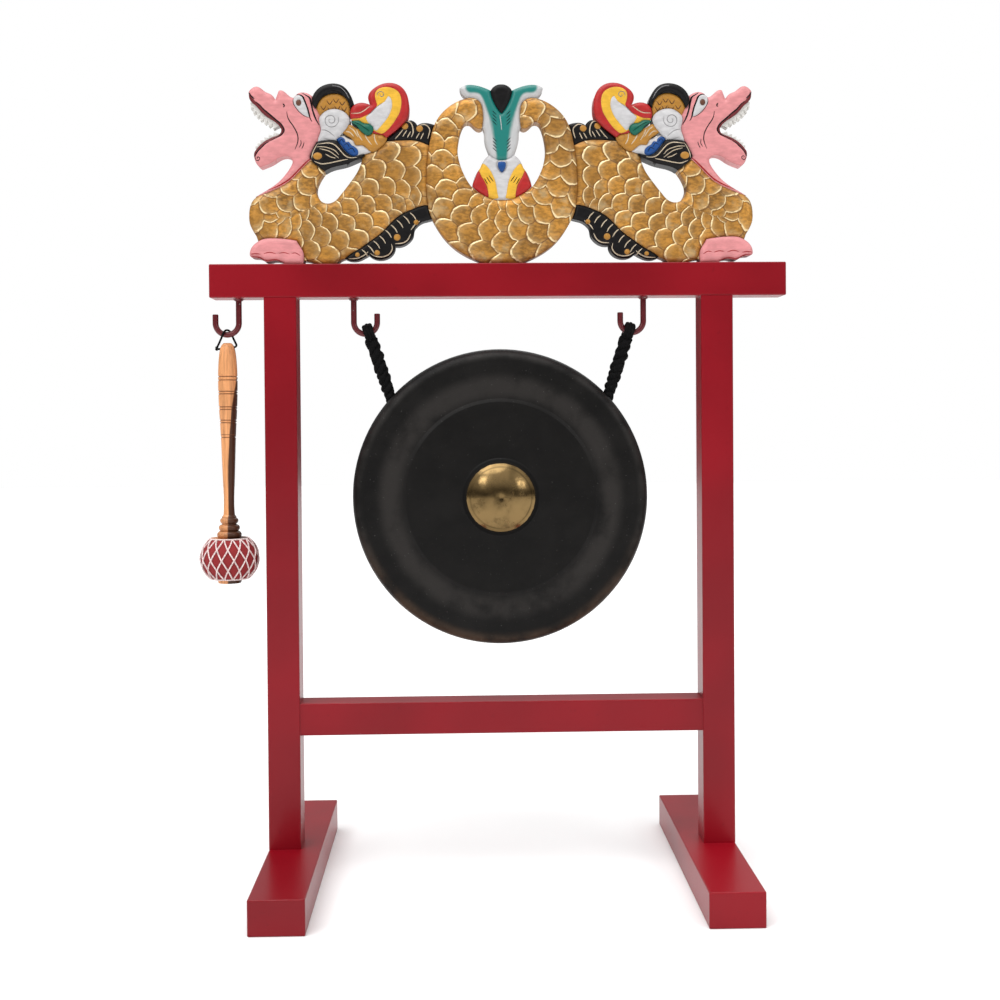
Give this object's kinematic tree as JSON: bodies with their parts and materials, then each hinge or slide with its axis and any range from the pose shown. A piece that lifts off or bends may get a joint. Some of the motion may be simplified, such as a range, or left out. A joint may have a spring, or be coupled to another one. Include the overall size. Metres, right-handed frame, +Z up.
{
  "type": "tam tam gong",
  "caption": "Bossed gong hung by cords in a red timber stand with a carved dragon crest, and a netted beater hanging from a hook at the beam's end.",
  "frame": {"origin": "centre of the part's footprint on the floor", "axes": "+X along the beam from the beater's end, +Y to the back, +Z up; the gong's face looks along -Y"},
  "size_m": [0.7074, 0.38, 0.9561],
  "materials": {
    "red_lacquer": "gloss lacquer",
    "dowel_wood": "raw",
    "screw_steel": "zinc plated",
    "hook_paint": "gloss paint",
    "gong_bronze": "black patina with a polished boss",
    "black_cord": "twisted cord",
    "beater_wood": "turned and oiled",
    "pad_cloth": "felted cloth",
    "net_cord": "knotted cord",
    "gold_paint": "aged gold paint on carved wood",
    "pink_paint": "satin paint on carved wood",
    "white_paint": "satin paint on carved wood",
    "black_paint": "satin paint on carved wood",
    "horn_paint": "red, yellow and white paint on carved wood",
    "green_paint": "satin paint on carved wood",
    "blue_paint": "satin paint on carved wood",
    "teal_paint": "teal shaded to white, on carved wood",
    "petal_paint": "white, yellow and red paint on carved wood"
  },
  "bodies": {
    "root": {"top_beam": "red_lacquer", "left_post": "red_lacquer", "right_post": "red_lacquer", "left_foot": "red_lacquer", "right_foot": "red_lacquer", "lower_rail": "red_lacquer", "post_dowels": "dowel_wood", "rail_dowels": "dowel_wood", "crest_pins": "dowel_wood", "foot_screws": "screw_steel", "left_gong_hook": "hook_paint", "right_gong_hook": "hook_paint", "beater_hook": "hook_paint", "tail_coil": "gold_paint", "tail_plume": "teal_paint", "plume_bud": "black_paint", "plume_drop": "blue_paint", "petal_skirt": "petal_paint", "left_dragon_head": "pink_paint", "left_dragon_teeth": "white_paint", "left_ear_arch": "black_paint", "left_ear_shell": "gold_paint", "left_cheek_puff": "white_paint", "left_horn": "horn_paint", "left_leaf": "green_paint", "left_neck_collar": "gold_paint", "left_neck_frill": "blue_paint", "left_mane": "black_paint", "left_back_fin": "black_paint", "left_belly_fin": "black_paint", "left_claw": "pink_paint", "left_dragon_body": "gold_paint", "right_dragon_head": "pink_paint", "right_dragon_teeth": "white_paint", "right_ear_arch": "black_paint", "right_ear_shell": "gold_paint", "right_cheek_puff": "white_paint", "right_horn": "horn_paint", "right_leaf": "green_paint", "right_neck_collar": "gold_paint", "right_neck_frill": "blue_paint", "right_mane": "black_paint", "right_back_fin": "black_paint", "right_belly_fin": "black_paint", "right_claw": "pink_paint", "right_dragon_body": "gold_paint"},
    "gong": {"gong": "gong_bronze", "left_gong_cord": "black_cord", "right_gong_cord": "black_cord", "left_cord_knot": "black_cord", "right_cord_knot": "black_cord"},
    "hanging_loop": {"beater_loop": "black_cord"},
    "beater": {"beater_handle": "beater_wood", "beater_pad": "pad_cloth", "beater_net": "net_cord"}
  },
  "joints": [
    {"name": "gong_swing", "type": "hinge", "parent": "root", "child": "gong", "pos_m": [0.009, 0, 0.65768], "axis": [1, 0, 0], "range_deg": [-40, 40]},
    {"name": "loop_swing", "type": "hinge", "parent": "root", "child": "hanging_loop", "pos_m": [-0.318, 0, 0.657], "axis": [1, 0, 0], "range_deg": [-40, 40]},
    {"name": "beater_swing", "type": "hinge", "parent": "hanging_loop", "child": "beater", "pos_m": [-0.318, 0, 0.64], "axis": [1, 0, 0], "range_deg": [-45, 45]}
  ]
}
